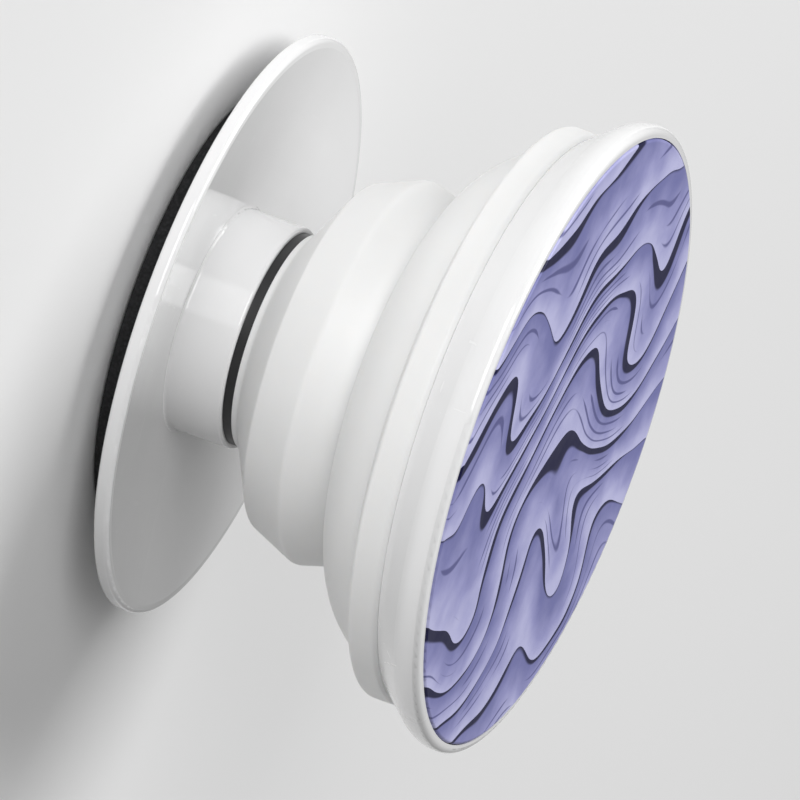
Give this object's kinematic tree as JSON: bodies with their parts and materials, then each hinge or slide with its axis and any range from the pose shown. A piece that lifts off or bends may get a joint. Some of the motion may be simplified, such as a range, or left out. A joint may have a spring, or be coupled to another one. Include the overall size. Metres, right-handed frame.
{
  "type": "collapsible phone grip",
  "caption": "Collapsible phone grip: a round printed button on a soft folding accordion that swivels on an adhesive base disc.",
  "frame": {"origin": "centre of the adhesive face that sticks to the phone", "axes": "+Z from the phone to the button, along the grip's axis; X and Y across it"},
  "size_m": [0.04, 0.04, 0.0244],
  "materials": {
    "adhesive_foam": "matt die-cut foam",
    "white_plastic": "gloss moulded",
    "black_acetal": "satin moulded",
    "white_elastomer": "satin moulded",
    "clear_film": "double-sided film",
    "printed_disc": "gloss print"
  },
  "bodies": {
    "base": {"adhesive_pad": "adhesive_foam", "base_plate": "white_plastic"},
    "foot": {"swivel_foot": "black_acetal"},
    "accordion": {"accordion": "white_elastomer"},
    "button": {"button_cap": "white_plastic", "insert_adhesive": "clear_film", "print_insert": "printed_disc"}
  },
  "joints": [
    {"name": "swivel", "type": "hinge", "parent": "base", "child": "foot", "pos_m": [0, 0, 0.0052], "axis": [0, 0, 1], "continuous": true},
    {"name": "lower_fold", "type": "slide", "parent": "foot", "child": "accordion", "axis": [0, 0, 1], "range_m": [-0.0062, 0], "deforming": ["accordion"]},
    {"name": "upper_fold", "type": "slide", "parent": "accordion", "child": "button", "axis": [0, 0, 1], "range_m": [-0.008, 0], "deforming": ["accordion"]}
  ]
}
